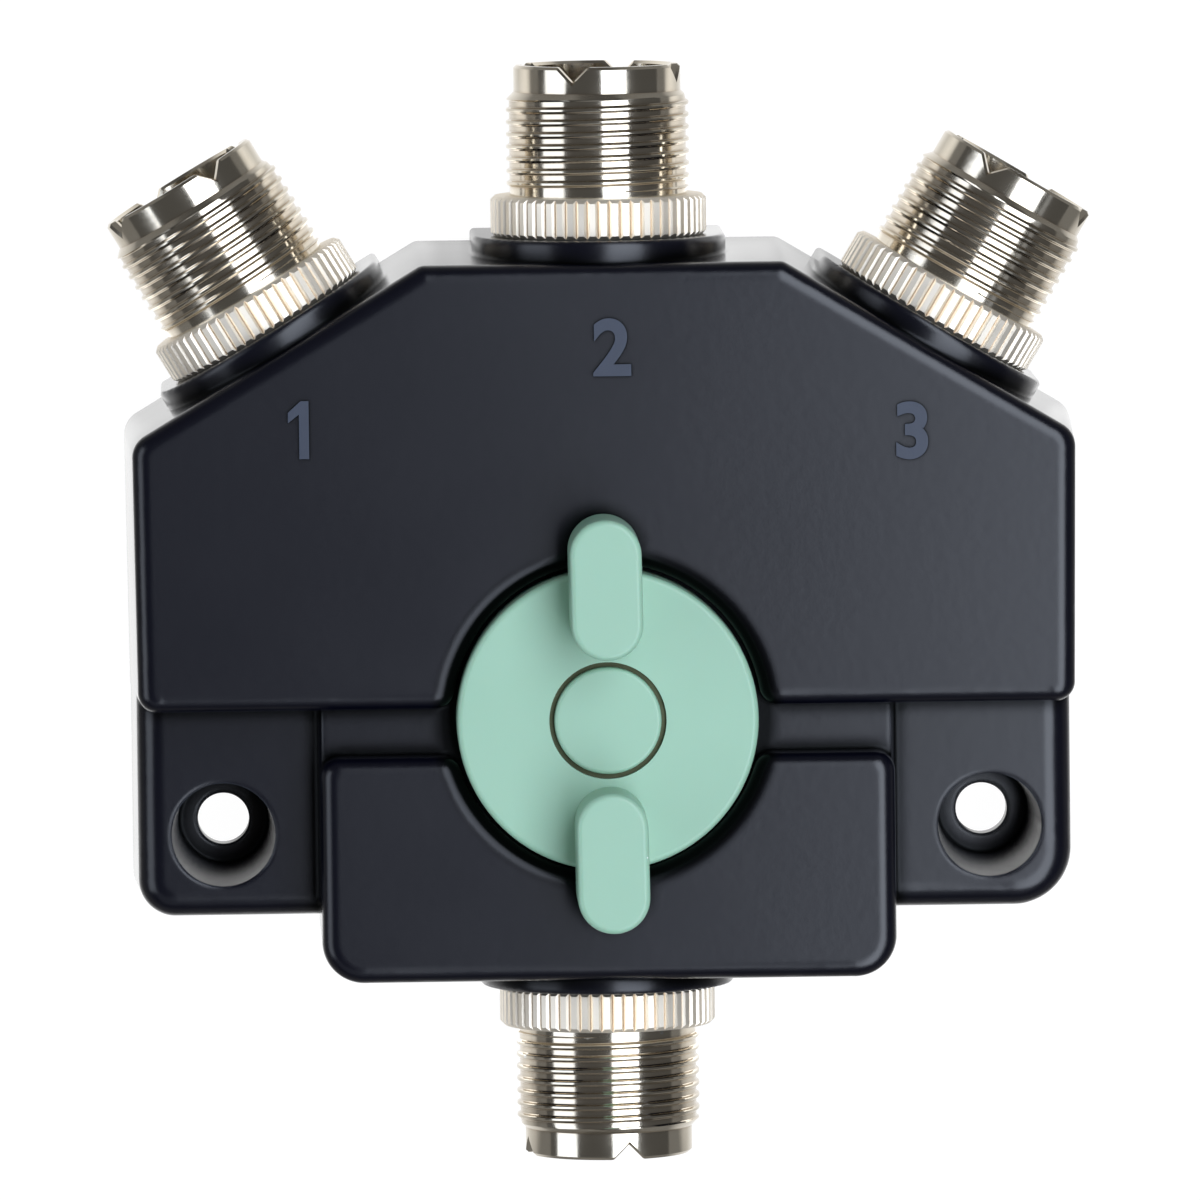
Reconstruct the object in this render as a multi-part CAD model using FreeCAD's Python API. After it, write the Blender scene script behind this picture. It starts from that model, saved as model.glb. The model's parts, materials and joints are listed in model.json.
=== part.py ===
import FreeCAD, Part
import math
import os

# A three-way coaxial antenna switch lying on its back: +Z points out of the front, +Y towards port 2, and
# the origin is where the knob's axis meets the rear face. All lengths are millimetres, all angles degrees.

# Case: a die casting whose walls widen towards the rear. Outlines are given at the front, the channel's at
# its own height. The channel and the ears lie lower than the front by their drops.
case_height = 24.5
case_draft = 2.0
plate_top = 39.2
plate_foot = 1.0
top_half_width = 15.6
shoulder_half_width = 40.6
foot_half_width = 40.35
slant_angle = 31.0
block_half_width = 24.8
block_draft = 0.2
block_top = -3.2
block_bottom = -22.7
channel_drop = 4.0
channel_half_width = 24.6
channel_draft = 10.0
channel_bottom = -15.8
ear_drop = 6.5
left_ear_half_width = 40.3
right_ear_half_width = 40.0
ear_bottom = -17.05
case_wall = 2.6
plate_thickness = 2.5

# Rounded edges of the casting.
plate_edge_radius = 1.4
ear_edge_radius = 2.2
top_corner_radius = 1.3
shoulder_corner_radius = 2.2
plate_corner_radius = 1.7
block_corner_radius = 3.6
left_ear_corner_radius = 3.2
right_ear_corner_radius = 5.0
boss_edge_radius = 0.4
cover_corner_radius = 1.2

# Screw holes in the ears: a tapering counterbore over a clearance hole for an M4 screw.
ear_hole_spacing = 66.4
ear_hole_drop = 10.2
ear_hole_radius = 2.25
ear_counterbore_radius = 4.5
ear_counterbore_floor_radius = 3.9
ear_floor_thickness = 2.5

# Coaxial ports: the standard socket with a 5/8-24 thread.
port_axis_height = 12.25
side_port_offset = 7.5
thread_radius = 7.9375
thread_pitch = 1.0583
thread_count = 8
thread_depth = 0.649
neck_radius = 7.7
barrel_length = 11.3
rim_band_length = 2.3
rim_band_radius = 7.25
rim_chamfer = 0.25
mouth_radius = 6.25
mouth_depth = 5.0
notch_width = 2.7
notch_depth = 1.35
ring_nut_radius = 9.35
ring_nut_height = 3.5
ring_nut_teeth = 60
ring_nut_tooth_depth = 0.28
ring_nut_crest_width = 0.5
ring_nut_chamfer = 0.35
port_boss_radius = 11.0
upper_boss_height = 1.5
common_boss_height = 1.3
flange_radius = 9.2
flange_thickness = 2.0
notch_turn_port_1 = 26.5
notch_turn_port_2 = -19.0
notch_turn_port_3 = -22.0
notch_turn_common = -13.0

# Insulator and split centre contact in each socket.
insulator_radius = 6.0
insulator_depth = 5.2
insulator_step_depth = 8.0
insulator_tail_radius = 5.15
insulator_stand_off = 0.9
contact_radius = 2.55
contact_bore_radius = 2.0
contact_bore_depth = 10.6
contact_body_length = 12.0
contact_lip_setback = 0.1
contact_slot_width = 0.45
contact_slot_depth = 7.5
contact_entry_chamfer = 0.3
tail_radius = 1.5

# Contact strips bent from silver-plated brass.
strip_thickness = 0.8
strip_width = 8.0
strip_leg_reach = 21.4
strip_pad_length = 6.0
strip_leg_rise = 2.2
side_pad_shift = 2.4
common_leg_reach = 13.0
common_fork_width = 15.0
common_fork_end = 0.5

# Rear cover and its countersunk screws.
cover_thickness = 1.5
cover_ledge = 1.3
cover_screw_radius = 1.5
cover_screw_length = 7.0
cover_screw_head_radius = 2.8
cover_screw_head_depth = 1.3
cover_screw_sink = 0.05
cross_slot_width = 0.7
cross_slot_length = 3.2
cross_slot_depth = 0.9
post_radius = 3.0
post_depth = 8.5
top_post_x = 13.6
top_post_y = 34.6
side_post_x = 35.0
side_post_y = 17.0
block_post_x = 19.4
block_post_y = -17.7

# Knob: a disc with two long lobes, seated in the round recess of the case.
recess_radius = 13.4
knob_radius = 13.0
knob_floor_gap = 0.5
knob_thickness = 5.0
knob_edge_radius = 0.5
knob_hub_radius = 4.6
knob_turned_on_shaft = 0.8
lobe_width = 6.2
lobe_tip_reach = 17.8
lobe_inner_reach = 5.7
lobe_height = 7.0
lobe_plate_gap = 0.7
lobe_edge_radius = 0.5
cap_radius = 4.62
cap_gap = 0.43
cap_recess_depth = 3.6
cap_top_thickness = 1.0
cap_skirt_thickness = 0.9
cap_rise = 0.35
cap_edge_radius = 0.35

# Shaft, bearing and the screw that holds the knob.
shaft_radius = 3.0
shaft_flat_depth = 0.6
bushing_radius = 4.5
bearing_boss_radius = 7.0
washer_thickness = 0.5
clip_radius = 4.3
clip_thickness = 0.8
clip_groove_depth = 0.6
clip_mouth_width = 3.6
small_screw_radius = 1.5
small_screw_head_radius = 2.75
small_screw_head_height = 1.7
small_screw_length = 6.0
small_washer_radius = 3.4

# Index plate under the knob, with its ball, spring and stop pin.
click_angle = 45.0
index_plate_radius = 9.6
index_plate_thickness = 1.0
index_hole_radius = 1.1
index_peg_radius = 0.8
index_peg_reach = 7.4
ball_radius = 1.5
ball_reach = 7.5
ball_pocket_radius = 1.6
ball_pocket_depth = 6.5
ball_boss_radius = 3.2
ball_boss_floor = 2.0
spring_wire_radius = 0.22
spring_wire_sides = 8
spring_coil_radius = 1.25
spring_turns = 5
stop_pin_radius = 0.8
stop_pin_reach = 11.0
stop_pin_rise = 2.0
stop_slot_depth = 2.4

# Rotor inside the case.
rotor_flange_radius = 6.5
rotor_flange_thickness = 3.0
rotor_spigot_radius = 4.5
rotor_spigot_length = 2.8
rotor_screw_room = 1.0
arm_thickness = 0.8
arm_width = 5.0
arm_reach = 20.2
rivet_radius = 0.75
rivet_head_radius = 1.1
rivet_head_height = 0.4
rivet_reach = 5.55
rivet_spread = 30.0

# Fits and clearances.
cover_gap = 0.15
screw_hole_gap = 0.25
thread_gap = 0.03
port_hole_gap = 0.1
insulator_gap = 0.03
finger_gap = 0.35
shaft_running_gap = 0.03
hub_running_gap = 0.2
axial_gap = 0.1
washer_gap = 0.05
contact_gap = 0.05
stop_gap = 0.25
ball_gap = 0.1
seat_gap = 0.02

# How far a cutting shape runs past the surface that it opens.
cut_overrun = 1.0

# Levels and distances that follow from the sizes above.
draft_slope = math.tan(math.radians(case_draft))
block_slope = math.tan(math.radians(block_draft))
channel_slope = math.tan(math.radians(channel_draft))
channel_height = case_height - channel_drop
ear_height = case_height - ear_drop
roof_height = case_height - plate_thickness
recess_roof = channel_height - plate_thickness
thread_end = rim_band_length + thread_count * thread_pitch
thread_root_radius = thread_radius - thread_depth
nut_bore_radius = thread_radius - thread_depth / 2
ring_nut_start = barrel_length
boss_face_depth = barrel_length + ring_nut_height
contact_lip_depth = insulator_depth + contact_lip_setback
side_wall_reach = (top_half_width * math.sin(math.radians(slant_angle))
                   + plate_top * math.cos(math.radians(slant_angle)))
shoulder_y = plate_top - (shoulder_half_width - top_half_width) * math.tan(math.radians(slant_angle))
rotor_bottom = cover_thickness + rotor_screw_room + small_screw_head_height + washer_thickness
shaft_bottom = rotor_bottom + axial_gap
arm_top = rotor_bottom + rotor_spigot_length
arm_bottom = arm_top - arm_thickness
pad_top = arm_bottom - contact_gap
rotor_top = arm_top + rotor_flange_thickness
clip_bottom = rotor_top + axial_gap
washer_bottom = clip_bottom + clip_thickness + washer_gap
bushing_bottom = washer_bottom + washer_thickness + washer_gap
bushing_top = recess_roof - axial_gap
knob_bottom = channel_height + knob_floor_gap
knob_top = knob_bottom + knob_thickness
cap_recess_floor = knob_top - cap_recess_depth
shaft_top = cap_recess_floor - axial_gap
lobe_top = knob_top + lobe_height
ball_centre_height = knob_bottom - ball_gap - ball_radius
pocket_floor = channel_height - ball_pocket_depth
ball_boss_bottom = pocket_floor - ball_boss_floor
ear_x = ear_hole_spacing / 2


def vec(x, y, z=0.0):
    return FreeCAD.Vector(x, y, z)


Z_AXIS = vec(0, 0, 1)


def cylinder(radius, low, high, x=0.0, y=0.0):
    return Part.makeCylinder(radius, high - low, vec(x, y, low), Z_AXIS)


def cone(low_radius, high_radius, low, high, x=0.0, y=0.0):
    return Part.makeCone(low_radius, high_radius, high - low, vec(x, y, low), Z_AXIS)


def block(x_low, x_high, y_low, y_high, z_low, z_high):
    return Part.makeBox(x_high - x_low, y_high - y_low, z_high - z_low, vec(x_low, y_low, z_low))


def turned(shape, angle):
    copy = shape.copy()
    copy.rotate(vec(0, 0), Z_AXIS, angle)
    return copy


def mirrored_pair(x, y):
    return [(x, y), (-x, y)]


def offset_outline(points, distance):
    """Moves each side of a counterclockwise outline outwards by distance and joins the sides again."""
    moved = []
    count = len(points)
    for i in range(count):
        before, here, after = points[i - 1], points[i], points[(i + 1) % count]
        first = outward_normal(before, here)
        second = outward_normal(here, after)
        share = distance / (1 + first[0] * second[0] + first[1] * second[1])
        moved.append((here[0] + share * (first[0] + second[0]), here[1] + share * (first[1] + second[1])))
    return moved


def outward_normal(start, end):
    length = math.hypot(end[0] - start[0], end[1] - start[1])
    return ((end[1] - start[1]) / length, -(end[0] - start[0]) / length)


def wire_at(points, z):
    corners = [vec(x, y, z) for x, y in points]
    return Part.makePolygon(corners + corners[:1])


def prism(points, low, high):
    return Part.Face(wire_at(points, low)).extrude(vec(0, 0, high - low))


def drafted_prism(points, given_at, low, high, slope):
    """A block whose outline is given at height given_at and widens towards the rear."""
    low_outline = offset_outline(points, slope * (given_at - low))
    high_outline = offset_outline(points, slope * (given_at - high))
    return Part.makeLoft([wire_at(low_outline, low), wire_at(high_outline, high)], True, True)


def upright_edges(shape, wanted):
    """Upright edges whose middle passes the test wanted(x, y)."""
    found = []
    for edge in shape.Edges:
        box = edge.BoundBox
        if box.ZLength > box.XLength + box.YLength and wanted(box.Center.x, box.Center.y):
            found.append(edge)
    return found


def edges_at_height(shape, z):
    return [e for e in shape.Edges if abs(e.BoundBox.ZMin - z) < 1e-3 and abs(e.BoundBox.ZMax - z) < 1e-3]


def revolved(profile):
    """Turns a closed list of (radius, height) points about Z."""
    corners = [vec(r, 0, z) for r, z in profile]
    face = Part.Face(Part.makePolygon(corners + corners[:1]))
    return face.revolve(vec(0, 0), Z_AXIS, 360)


# ---- Case ----

def upper_outline():
    return [(-foot_half_width, plate_foot), (foot_half_width, plate_foot), (shoulder_half_width, shoulder_y),
            (top_half_width, plate_top), (-top_half_width, plate_top), (-shoulder_half_width, shoulder_y)]


def block_outline():
    return [(-block_half_width, block_bottom), (block_half_width, block_bottom),
            (block_half_width, block_top), (-block_half_width, block_top)]


def ear_outline():
    top = plate_foot + ear_edge_radius
    return [(-left_ear_half_width, ear_bottom), (right_ear_half_width, ear_bottom),
            (right_ear_half_width, top), (-left_ear_half_width, top)]


def hollow_outline():
    """The upper and lower parts of the case as one outline, without the ears."""
    upper = upper_outline()
    return [(-block_half_width, block_bottom), (block_half_width, block_bottom),
            (block_half_width, plate_foot)] + upper[1:] + upper[:1] + [(-block_half_width, plate_foot)]


def near_recess(x, y):
    return abs(math.hypot(x, y) - recess_radius) < plate_edge_radius


def raised_plate(outline, slope, corner_radii):
    """A plate of the front: drafted, cut out around the knob, with rounded corners and front edges."""
    plate = drafted_prism(outline, case_height, 0, case_height, slope)
    for radius, wanted in corner_radii:
        plate = plate.makeFillet(radius, upright_edges(plate, wanted))
    plate = plate.cut(cylinder(recess_radius, channel_height, case_height + cut_overrun))
    plate = plate.makeFillet(plate_corner_radius, upright_edges(plate, near_recess))
    return plate.makeFillet(plate_edge_radius, edges_at_height(plate, case_height))


def upper_plate():
    corners = [(plate_corner_radius, lambda x, y: y < shoulder_y / 2),
               (shoulder_corner_radius, lambda x, y: shoulder_y / 2 < y < (shoulder_y + plate_top) / 2),
               (top_corner_radius, lambda x, y: y > (shoulder_y + plate_top) / 2)]
    return raised_plate(upper_outline(), draft_slope, corners)


def lower_plate():
    corners = [(block_corner_radius, lambda x, y: y < block_bottom / 2),
               (plate_corner_radius, lambda x, y: y > block_bottom / 2)]
    return raised_plate(block_outline(), block_slope, corners)


def ears():
    base = drafted_prism(ear_outline(), case_height, 0, ear_height, draft_slope)
    left = upright_edges(base, lambda x, y: y < ear_bottom / 2 and x < 0)
    base = base.makeFillet(left_ear_corner_radius, left)
    right = upright_edges(base, lambda x, y: y < ear_bottom / 2 and x > ear_x)
    base = base.makeFillet(right_ear_corner_radius, right)
    return base.makeFillet(ear_edge_radius, edges_at_height(base, ear_height))


def channel():
    """The low step between the plates, which also shows as a narrow margin on both sides of the block."""
    top = plate_foot + plate_edge_radius
    outline = [(-channel_half_width, channel_bottom), (channel_half_width, channel_bottom),
               (channel_half_width, top), (-channel_half_width, top)]
    low = ear_height - ear_edge_radius
    return drafted_prism(outline, channel_height, low, channel_height, channel_slope)


def port_boss(port):
    """The pad on the wall that the ring nut bears on: round at the front, straight-sided down to the rear."""
    low, high = -port["inner_wall_depth"] + case_wall / 2, -boss_face_depth
    pad = cylinder(port_boss_radius, low, high)
    rear_half = block(-port_boss_radius, port_boss_radius, 0, port_axis_height, low, high)
    pad = pad.fuse(rear_half).removeSplitter()
    last_y = port_axis_height - boss_edge_radius
    rounded = [e for e in edges_at_height(pad, high) if e.BoundBox.Center.y < last_y]
    return place_at_port(pad.makeFillet(boss_edge_radius, rounded), port)


def posts():
    spots = mirrored_pair(top_post_x, top_post_y) + mirrored_pair(side_post_x, side_post_y)
    return spots + mirrored_pair(block_post_x, block_post_y)


def cavity():
    """The hollow inside the case, without the screw posts and the bosses of the bearing and the ball."""
    space = prism(offset_outline(hollow_outline(), -case_wall), 0, recess_roof)
    around_recess = cylinder(recess_radius + case_wall, recess_roof, case_height)
    for outline in (upper_outline(), block_outline()):
        pocket = prism(offset_outline(outline, -case_wall), cover_thickness, roof_height)
        space = space.fuse(pocket.cut(around_recess))
    for x, y in posts():
        space = space.cut(cylinder(post_radius, cover_thickness, case_height, x, y))
    space = space.cut(cylinder(bearing_boss_radius, bushing_bottom, case_height))
    return space.cut(cylinder(ball_boss_radius, ball_boss_bottom, case_height, 0, -ball_reach))


def housing(ports):
    case = upper_plate()
    for piece in [lower_plate(), ears(), channel()] + [port_boss(p) for p in ports]:
        case = case.fuse(piece)
    case = case.cut(cylinder(recess_radius, channel_height, case_height + cut_overrun)).removeSplitter()
    case = case.cut(cavity())
    case = case.cut(cover_blank(cover_ledge, 0))
    for x, y in posts():
        case = case.cut(cylinder(cover_screw_radius, 0, cover_thickness + post_depth, x, y))
    for x, y in mirrored_pair(ear_x, -ear_hole_drop):
        counterbore = cone(ear_counterbore_floor_radius, ear_counterbore_radius,
                           ear_floor_thickness, ear_height, x, y)
        case = case.cut(counterbore).cut(cylinder(ear_hole_radius, 0, ear_height, x, y))
    for port in ports:
        hole = cylinder(thread_radius + port_hole_gap, -port["flange_end_depth"], 0)
        case = case.cut(place_at_port(hole, port))
    case = case.cut(cylinder(bushing_radius + seat_gap, 0, recess_roof))
    case = case.cut(cylinder(knob_hub_radius + hub_running_gap, recess_roof, case_height))
    case = case.cut(cylinder(ball_pocket_radius, pocket_floor, case_height, 0, -ball_reach))
    return case.cut(cylinder(stop_pin_radius, recess_roof, case_height, 0, stop_pin_reach))


def cover_blank(ledge, gap):
    blank = prism(offset_outline(hollow_outline(), ledge - gap - case_wall), 0, cover_thickness)
    return blank.makeFillet(cover_corner_radius, upright_edges(blank, lambda x, y: True))


def rear_cover():
    plate = cover_blank(cover_ledge, cover_gap)
    shank_hole = cover_screw_radius + screw_hole_gap
    sink_depth = cover_screw_sink + cover_screw_head_depth
    for x, y in posts():
        plate = plate.cut(cylinder(shank_hole, 0, cover_thickness, x, y))
        plate = plate.cut(cone(cover_screw_head_radius + screw_hole_gap, shank_hole, 0, sink_depth, x, y))
    return plate


def cross_slot(depth, low):
    """The cross-shaped driver recess of a screw, opening downwards at height low."""
    half_length, half_width = cross_slot_length / 2, cross_slot_width / 2
    one = block(-half_length, half_length, -half_width, half_width, low, low + depth)
    return one.fuse(turned(one, 90))


def countersunk_screw():
    radius = cover_screw_radius - thread_gap
    low = cover_screw_sink
    profile = [(0, low), (cover_screw_head_radius, low), (radius, low + cover_screw_head_depth),
               (radius, low + cover_screw_length), (0, low + cover_screw_length)]
    return revolved(profile).cut(cross_slot(cross_slot_depth, low))


def cover_screws():
    screws = []
    for x, y in posts():
        screw = countersunk_screw()
        screw.translate(vec(x, y))
        screws.append(screw)
    return Part.makeCompound(screws)


# ---- Coaxial ports, drawn with the mouth at the origin and the inside along -Z, then placed ----

def place_at_port(shape, port):
    moved = shape.copy()
    moved.Placement = port["placement"].multiply(moved.Placement)
    return moved


def port_block(port, out_low, out_high, side_low, side_high, z_low, z_high):
    """A block laid out along a port's own directions, measured from the knob's axis."""
    return turned(block(side_low, side_high, out_low, out_high, z_low, z_high), port["direction_angle"])


def make_port(name, direction_angle, offset, wall_reach, wall_slope, boss_height, leg_reach, notch_turn,
              pad_shift):
    """direction_angle is measured from +Y towards -X, and offset along the port's own sideways direction."""
    turn = math.radians(direction_angle)
    out = vec(-math.sin(turn), math.cos(turn))
    side = vec(math.cos(turn), math.sin(turn))
    wall_shift = wall_slope * (case_height - port_axis_height)
    wall_depth = boss_face_depth + boss_height + wall_shift
    mouth_reach = wall_reach + wall_depth
    inner_wall_depth = wall_depth + case_wall
    mouth = out * mouth_reach + side * offset + Z_AXIS * port_axis_height
    rotation = FreeCAD.Rotation(side, Z_AXIS * -1, out, "ZXY")
    return {"name": name, "direction_angle": direction_angle, "offset": offset, "leg_reach": leg_reach,
            "placement": FreeCAD.Placement(mouth, rotation), "tail_depth": mouth_reach - leg_reach,
            "inner_wall_depth": inner_wall_depth, "flange_end_depth": inner_wall_depth + flange_thickness,
            "notch_turn": notch_turn, "pad_shift": pad_shift}


def rim_notch():
    slope = notch_width / 2 / notch_depth
    top = notch_width / 2 + slope * notch_depth
    corners = [vec(-top, 0, notch_depth), vec(top, 0, notch_depth), vec(0, 0, -notch_depth)]
    return Part.Face(Part.makePolygon(corners + corners[:1])).extrude(vec(0, -2 * rim_band_radius, 0))


def socket_shell(port):
    """A threaded barrel outside the case and a flange inside it. The thread is its crest cylinder."""
    under_nut = nut_bore_radius - thread_gap
    tail_bore = insulator_tail_radius + insulator_gap
    seat_bore = insulator_radius + insulator_gap
    wall, flange_end = -port["inner_wall_depth"], -port["flange_end_depth"]
    profile = [(mouth_radius, -rim_chamfer), (mouth_radius + rim_chamfer, 0),
               (rim_band_radius - rim_chamfer, 0), (rim_band_radius, -rim_chamfer),
               (rim_band_radius, -rim_band_length), (thread_radius, -rim_band_length),
               (thread_radius, -thread_end), (thread_root_radius, -thread_end),
               (thread_root_radius, -ring_nut_start), (under_nut, -ring_nut_start),
               (under_nut, -boss_face_depth), (neck_radius, -boss_face_depth), (neck_radius, wall),
               (flange_radius, wall), (flange_radius, flange_end), (tail_bore, flange_end),
               (tail_bore, -insulator_step_depth), (seat_bore, -insulator_step_depth),
               (seat_bore, -mouth_depth), (mouth_radius, -mouth_depth)]
    shell = revolved(profile)
    for quarter in range(4):
        shell = shell.cut(turned(rim_notch(), port["notch_turn"] + 90 * quarter))
    return place_at_port(shell, port)


def ring_nut(port):
    """A round nut gripped by its teeth: each has a flat crest between two grooves shaped like a V."""
    corners = []
    tooth_angle = 2 * math.pi / ring_nut_teeth
    crest_angle = ring_nut_crest_width / ring_nut_radius
    groove_radius = ring_nut_radius - ring_nut_tooth_depth
    for i in range(ring_nut_teeth):
        start = tooth_angle * i
        for radius, angle in ((ring_nut_radius, start), (ring_nut_radius, start + crest_angle),
                              (groove_radius, start + (tooth_angle + crest_angle) / 2)):
            corners.append((radius * math.cos(angle), radius * math.sin(angle)))
    toothed = prism(corners, -boss_face_depth, -ring_nut_start)
    outer, inner = ring_nut_radius, ring_nut_radius - ring_nut_chamfer
    blank = revolved([(nut_bore_radius, -boss_face_depth), (inner, -boss_face_depth),
                      (outer, -boss_face_depth + ring_nut_chamfer),
                      (outer, -ring_nut_start - ring_nut_chamfer), (inner, -ring_nut_start),
                      (nut_bore_radius, -ring_nut_start)])
    return place_at_port(toothed.common(blank), port)


def insulator(port):
    face = -insulator_depth
    end = -port["flange_end_depth"] - insulator_stand_off
    finger_room = contact_radius + finger_gap
    finger_end = -contact_lip_depth - contact_slot_depth - finger_gap
    body_end = -contact_lip_depth - contact_body_length
    body_bore = contact_radius + insulator_gap
    tail_bore = tail_radius + insulator_gap
    profile = [(finger_room, face), (insulator_radius, face), (insulator_radius, -insulator_step_depth),
               (insulator_tail_radius, -insulator_step_depth), (insulator_tail_radius, end),
               (tail_bore, end), (tail_bore, body_end), (body_bore, body_end), (body_bore, finger_end),
               (finger_room, finger_end)]
    return place_at_port(revolved(profile), port)


def centre_contact(port):
    lip = -contact_lip_depth
    body_end = lip - contact_body_length
    bore_end = lip - contact_bore_depth
    entry = contact_bore_radius + contact_entry_chamfer
    profile = [(0, bore_end), (contact_bore_radius, bore_end),
               (contact_bore_radius, lip - contact_entry_chamfer), (entry, lip), (contact_radius, lip),
               (contact_radius, body_end), (tail_radius, body_end), (tail_radius, -port["tail_depth"]),
               (0, -port["tail_depth"])]
    contact = revolved(profile)
    slot = block(-contact_radius, contact_radius, -contact_slot_width / 2, contact_slot_width / 2,
                 lip - contact_slot_depth, lip)
    return place_at_port(contact.cut(slot).cut(turned(slot, 90)), port)


def strip_leg(port, low_side, high_side):
    reach = port["leg_reach"]
    low, high = pad_top - strip_thickness, port_axis_height + strip_leg_rise
    return port_block(port, reach - strip_thickness, reach, low_side, high_side, low, high)


def contact_strip(port):
    """An angle of strip soldered to the tail of the centre contact; the moving contact slides on its pad."""
    reach = port["leg_reach"]
    middle = port["offset"] + port["pad_shift"]
    low_side, high_side = middle - strip_width / 2, middle + strip_width / 2
    pad_bottom = pad_top - strip_thickness
    pad = port_block(port, reach - strip_pad_length, reach, low_side, high_side, pad_bottom, pad_top)
    return strip_leg(port, low_side, high_side).fuse(pad).removeSplitter()


def common_strip(port):
    """An angle of strip whose fork lies under the ring of the moving contact."""
    reach = port["leg_reach"]
    half = common_fork_width / 2
    fork = port_block(port, common_fork_end, reach, -half, half, pad_top - strip_thickness, pad_top)
    fork = fork.cut(cylinder(rotor_spigot_radius + finger_gap, 0, case_height))
    return strip_leg(port, -strip_width / 2, strip_width / 2).fuse(fork).removeSplitter()


# ---- Knob ----

def lobe_outline(half_width, z):
    """A long loop with round ends, lying along +Y."""
    inner = lobe_inner_reach + lobe_width / 2
    outer = lobe_tip_reach - lobe_width / 2
    right = Part.LineSegment(vec(half_width, inner, z), vec(half_width, outer, z))
    tip = Part.Arc(vec(half_width, outer, z), vec(0, outer + half_width, z), vec(-half_width, outer, z))
    left = Part.LineSegment(vec(-half_width, outer, z), vec(-half_width, inner, z))
    root = Part.Arc(vec(-half_width, inner, z), vec(0, inner - half_width, z), vec(half_width, inner, z))
    return Part.Wire([edge.toShape() for edge in (right, tip, left, root)])


def lobe():
    low = case_height + lobe_plate_gap
    body = Part.Face(lobe_outline(lobe_width / 2, low)).extrude(vec(0, 0, lobe_top - low))
    return body.makeFillet(lobe_edge_radius, edges_at_height(body, lobe_top))


def knob():
    body = cylinder(knob_radius, knob_bottom, knob_top)
    body = body.makeFillet(knob_edge_radius, edges_at_height(body, knob_top))
    body = body.fuse(cylinder(knob_hub_radius, recess_roof, knob_top))
    for turn in (0, 180):
        body = body.fuse(turned(lobe(), turn + knob_turned_on_shaft))
    body = body.cut(cylinder(cap_radius + cap_gap, cap_recess_floor, lobe_top))
    body = body.cut(index_plate_blank(seat_gap))
    body = body.cut(stop_slot()).fuse(index_pegs(index_peg_radius))
    return body.cut(shaft_section(shaft_radius + seat_gap, recess_roof, cap_recess_floor)).removeSplitter()


def index_plate_blank(gap):
    ring = cylinder(index_plate_radius + gap, knob_bottom, knob_bottom + index_plate_thickness)
    return ring.cut(cylinder(knob_hub_radius, knob_bottom, knob_top))


def index_pegs(radius):
    pegs = []
    for x, y in mirrored_pair(index_peg_reach, 0):
        pegs.append(cylinder(radius, knob_bottom, knob_bottom + index_plate_thickness, x, y))
    return Part.makeCompound(pegs)


def index_plate():
    plate = index_plate_blank(0).cut(cylinder(knob_hub_radius + seat_gap, knob_bottom, knob_top))
    plate = plate.cut(index_pegs(index_peg_radius + seat_gap))
    hole = cylinder(index_hole_radius, knob_bottom, knob_top, 0, -ball_reach)
    for turn in (-click_angle, 0, click_angle):
        plate = plate.cut(turned(hole, turn))
    return plate


def stop_slot():
    """The curved slot under the knob in which the stop pin runs."""
    half = stop_pin_radius + stop_gap
    low, high = knob_bottom, knob_bottom + stop_slot_depth
    ring = cylinder(stop_pin_reach + half, low, high).cut(cylinder(stop_pin_reach - half, low, high))
    diameter = 2 * knob_radius
    wedge = [(0, 0)] + [(diameter * math.sin(math.radians(a)), diameter * math.cos(math.radians(a)))
                        for a in (click_angle, 0, -click_angle)]
    slot = ring.common(prism(wedge, low, high))
    for turn in (-click_angle, click_angle):
        slot = slot.fuse(turned(cylinder(half, low, high, 0, stop_pin_reach), turn))
    return slot


def knob_cap():
    top = knob_top + cap_rise
    inner = cap_radius - cap_skirt_thickness
    under = top - cap_top_thickness
    cap = cylinder(cap_radius, cap_recess_floor, top)
    cap = cap.makeFillet(cap_edge_radius, edges_at_height(cap, top))
    return cap.cut(cylinder(inner, cap_recess_floor, under))


# ---- Shaft and bearing ----

def shaft_section(radius, low, high):
    """A round bar with one flat, as the ends of the shaft and the bores on them have."""
    bar = cylinder(radius, low, high)
    flat = radius - shaft_flat_depth
    return bar.cut(block(flat, 2 * radius, -radius, radius, low, high))


def shaft():
    middle = cylinder(shaft_radius, rotor_top, recess_roof)
    bar = middle.fuse(shaft_section(shaft_radius, shaft_bottom, rotor_top))
    bar = bar.fuse(shaft_section(shaft_radius, recess_roof, shaft_top)).removeSplitter()
    groove_radius = shaft_radius - clip_groove_depth
    low, high = clip_bottom - washer_gap, clip_bottom + clip_thickness + washer_gap
    bar = bar.cut(ring(groove_radius, shaft_radius + cut_overrun, low, high))
    hole_depth = small_screw_length + axial_gap
    bar = bar.cut(cylinder(small_screw_radius, shaft_top - hole_depth, shaft_top))
    return bar.cut(cylinder(small_screw_radius, shaft_bottom, shaft_bottom + hole_depth))


def ring(inner, outer, low, high):
    return cylinder(outer, low, high).cut(cylinder(inner, low, high))


def bushing():
    return ring(shaft_radius + shaft_running_gap, bushing_radius, bushing_bottom, bushing_top)


def thrust_washer():
    return ring(shaft_radius + washer_gap, clip_radius, washer_bottom, washer_bottom + washer_thickness)


def shaft_clip():
    inner = shaft_radius - clip_groove_depth + washer_gap
    half = clip_mouth_width / 2
    low, high = clip_bottom, clip_bottom + clip_thickness
    mouth = block(-half, half, 0, clip_radius + cut_overrun, low, high)
    return ring(inner, clip_radius, low, high).cut(mouth)


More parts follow.
